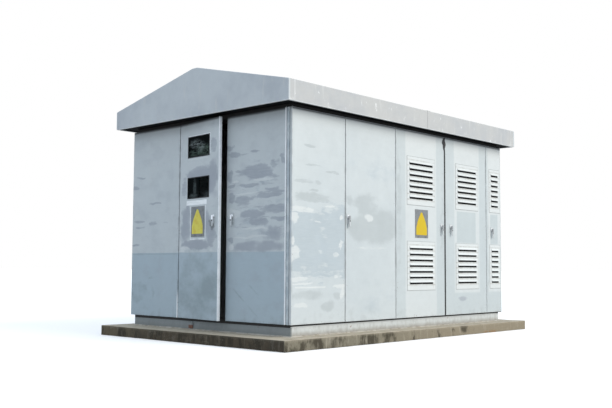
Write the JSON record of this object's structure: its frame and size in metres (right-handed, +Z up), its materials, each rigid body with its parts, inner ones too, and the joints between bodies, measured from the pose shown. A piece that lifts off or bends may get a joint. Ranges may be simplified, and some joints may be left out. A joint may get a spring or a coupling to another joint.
{
  "type": "pad-mounted transformer",
  "caption": "Pad-mounted package transformer: steel kiosk with a gable roof, plain and louvred hinged doors and meter windows, on a concrete pad.",
  "frame": {"origin": "middle of the pad's underside", "axes": "+X along the length, away from the gable end with the meter windows; -Y out of the louvred long side; +Z up"},
  "size_m": [4.144, 2.71, 2.673],
  "materials": {
    "concrete": "rough",
    "wall_paint": "satin",
    "gable_paint": "satin",
    "roof_paint": "satin",
    "frame_paint": "satin",
    "soffit_paint": "matte",
    "inside_paint": "satin",
    "steel": "brushed",
    "copper": "dull",
    "window_glass": "smooth",
    "porcelain": "gloss",
    "cable_rubber": "matte",
    "black_plastic": "matte",
    "meter_plastic": "matte",
    "red_plastic": "matte"
  },
  "bodies": {
    "kiosk": {"base_frame": "frame_paint", "body_frame": "frame_paint", "ceiling_tray": "soffit_paint", "concrete_pad": "concrete", "cross_partition": "inside_paint", "end_panel_front": "wall_paint", "end_panel_rear": "wall_paint", "energy_meter": "meter_plastic", "floor_plate": "steel", "gable_fixed_panel": "gable_paint", "hv_bushing_1": "porcelain", "hv_bushing_2": "porcelain", "hv_bushing_3": "porcelain", "hv_cable_1": "cable_rubber", "hv_cable_2": "cable_rubber", "hv_cable_3": "cable_rubber", "lv_bus_duct": "copper", "lv_switchboard": "inside_paint", "lv_terminal_block": "black_plastic", "main_breaker": "black_plastic", "rear_narrow_panel": "wall_paint", "ring_main_unit": "inside_paint", "roof_shell": "roof_paint", "switch_partition": "inside_paint", "transformer_lid": "frame_paint", "transformer_tank": "frame_paint"},
    "meter_door": {"meter_door": "gable_paint", "meter_window_lower": "window_glass", "meter_window_upper": "window_glass"},
    "service_door": {"service_door": "gable_paint"},
    "front_door_left": {"front_door_left": "wall_paint"},
    "front_door_right": {"front_door_right": "wall_paint"},
    "front_vent_door_left": {"front_vent_door_left": "wall_paint", "front_vent_door_left_louvre_lower": "wall_paint", "front_vent_door_left_louvre_upper": "wall_paint"},
    "front_vent_door_right": {"front_vent_door_right": "wall_paint", "front_vent_door_right_louvre_lower": "wall_paint", "front_vent_door_right_louvre_upper": "wall_paint"},
    "front_vent_door_narrow": {"front_vent_door_narrow": "wall_paint", "front_vent_door_narrow_louvre_lower": "wall_paint", "front_vent_door_narrow_louvre_upper": "wall_paint"},
    "rear_vent_door_left": {"rear_vent_door_left": "wall_paint", "rear_vent_door_left_louvre_lower": "wall_paint", "rear_vent_door_left_louvre_upper": "wall_paint"},
    "rear_vent_door_right": {"rear_vent_door_right": "wall_paint", "rear_vent_door_right_louvre_lower": "wall_paint", "rear_vent_door_right_louvre_upper": "wall_paint"},
    "rear_door_left": {"rear_door_left": "wall_paint"},
    "rear_door_right": {"rear_door_right": "wall_paint"},
    "meter_door_handle": {"meter_door_handle": "steel"},
    "service_door_handle": {"service_door_handle": "steel"},
    "front_door_right_handle": {"front_door_right_handle": "steel"},
    "front_vent_door_left_handle": {"front_vent_door_left_handle": "steel"},
    "front_vent_door_right_handle": {"front_vent_door_right_handle": "steel"},
    "front_vent_door_narrow_handle": {"front_vent_door_narrow_handle": "steel"},
    "rear_door_left_handle": {"rear_door_left_handle": "steel"},
    "rear_vent_door_left_handle": {"rear_vent_door_left_handle": "steel"},
    "rmu_operating_lever": {"rmu_operating_lever": "red_plastic"},
    "main_breaker_toggle": {"main_breaker_toggle": "red_plastic"},
    "tap_changer_knob": {"tap_changer_knob": "red_plastic"}
  },
  "joints": [
    {"name": "meter_door_hinge", "type": "hinge", "parent": "kiosk", "child": "meter_door", "pos_m": [-1.807, 0.379, 0.213], "axis": [0, 0, -1], "range_deg": [-7, 95]},
    {"name": "service_door_hinge", "type": "hinge", "parent": "kiosk", "child": "service_door", "pos_m": [-1.807, -1.1, 0.213], "axis": [0, 0, 1], "range_deg": [0, 100]},
    {"name": "front_door_left_hinge", "type": "hinge", "parent": "kiosk", "child": "front_door_left", "pos_m": [-1.805, -1.174, 0.213], "axis": [0, 0, -1], "range_deg": [0, 100]},
    {"name": "front_door_right_hinge", "type": "hinge", "parent": "kiosk", "child": "front_door_right", "pos_m": [-0.293, -1.174, 0.213], "axis": [0, 0, 1], "range_deg": [0, 85]},
    {"name": "front_vent_door_left_hinge", "type": "hinge", "parent": "kiosk", "child": "front_vent_door_left", "pos_m": [-0.259, -1.174, 0.213], "axis": [0, 0, -1], "range_deg": [0, 85]},
    {"name": "front_vent_door_right_hinge", "type": "hinge", "parent": "kiosk", "child": "front_vent_door_right", "pos_m": [1.467, -1.174, 0.213], "axis": [0, 0, 1], "range_deg": [0, 85]},
    {"name": "front_vent_door_narrow_hinge", "type": "hinge", "parent": "kiosk", "child": "front_vent_door_narrow", "pos_m": [1.805, -1.174, 0.213], "axis": [0, 0, 1], "range_deg": [0, 100]},
    {"name": "rear_vent_door_left_hinge", "type": "hinge", "parent": "kiosk", "child": "rear_vent_door_left", "pos_m": [1.467, 1.174, 0.213], "axis": [0, 0, -1], "range_deg": [0, 100]},
    {"name": "rear_vent_door_right_hinge", "type": "hinge", "parent": "kiosk", "child": "rear_vent_door_right", "pos_m": [-0.259, 1.174, 0.213], "axis": [0, 0, 1], "range_deg": [0, 85]},
    {"name": "rear_door_left_hinge", "type": "hinge", "parent": "kiosk", "child": "rear_door_left", "pos_m": [-0.293, 1.174, 0.213], "axis": [0, 0, -1], "range_deg": [0, 85]},
    {"name": "rear_door_right_hinge", "type": "hinge", "parent": "kiosk", "child": "rear_door_right", "pos_m": [-1.733, 1.174, 0.213], "axis": [0, 0, 1], "range_deg": [0, 100]},
    {"name": "meter_door_handle_turn", "type": "hinge", "parent": "meter_door", "child": "meter_door_handle", "pos_m": [-1.8909, -0.22226, 1.208], "axis": [0.9925, -0.1219, 0], "range_deg": [0, 90]},
    {"name": "service_door_handle_turn", "type": "hinge", "parent": "service_door", "child": "service_door_handle", "pos_m": [-1.817, -0.404, 1.208], "axis": [-1, 0, 0], "range_deg": [0, 90]},
    {"name": "front_door_right_handle_turn", "type": "hinge", "parent": "front_door_right", "child": "front_door_right_handle", "pos_m": [-1.034, -1.184, 1.208], "axis": [0, -1, 0], "range_deg": [0, 90]},
    {"name": "front_vent_door_left_handle_turn", "type": "hinge", "parent": "front_vent_door_left", "child": "front_vent_door_left_handle", "pos_m": [0.551, -1.184, 1.178], "axis": [0, 1, 0], "range_deg": [0, 90]},
    {"name": "front_vent_door_right_handle_turn", "type": "hinge", "parent": "front_vent_door_right", "child": "front_vent_door_right_handle", "pos_m": [0.733, -1.184, 1.178], "axis": [0, -1, 0], "range_deg": [0, 90]},
    {"name": "front_vent_door_narrow_handle_turn", "type": "hinge", "parent": "front_vent_door_narrow", "child": "front_vent_door_narrow_handle", "pos_m": [1.603, -1.184, 1.178], "axis": [0, -1, 0], "range_deg": [0, 90]},
    {"name": "rear_door_left_handle_turn", "type": "hinge", "parent": "rear_door_left", "child": "rear_door_left_handle", "pos_m": [-1.034, 1.184, 1.208], "axis": [0, -1, 0], "range_deg": [0, 90]},
    {"name": "rear_vent_door_left_handle_turn", "type": "hinge", "parent": "rear_vent_door_left", "child": "rear_vent_door_left_handle", "pos_m": [0.733, 1.184, 1.178], "axis": [0, -1, 0], "range_deg": [0, 90]},
    {"name": "rmu_operating_lever_turn", "type": "hinge", "parent": "kiosk", "child": "rmu_operating_lever", "pos_m": [-1.006, 0.936, 1.0909], "axis": [0, 1, 0], "range_deg": [-60, 60]},
    {"name": "main_breaker_toggle_tilt", "type": "hinge", "parent": "kiosk", "child": "main_breaker_toggle", "pos_m": [-0.892, -0.3535, 1.1409], "axis": [0, 1, 0], "range_deg": [-25, 25]},
    {"name": "tap_changer_knob_turn", "type": "hinge", "parent": "kiosk", "child": "tap_changer_knob", "pos_m": [1.13, 0, 1.2055], "axis": [0, 0, 1], "range_deg": [-60, 60]}
  ]
}
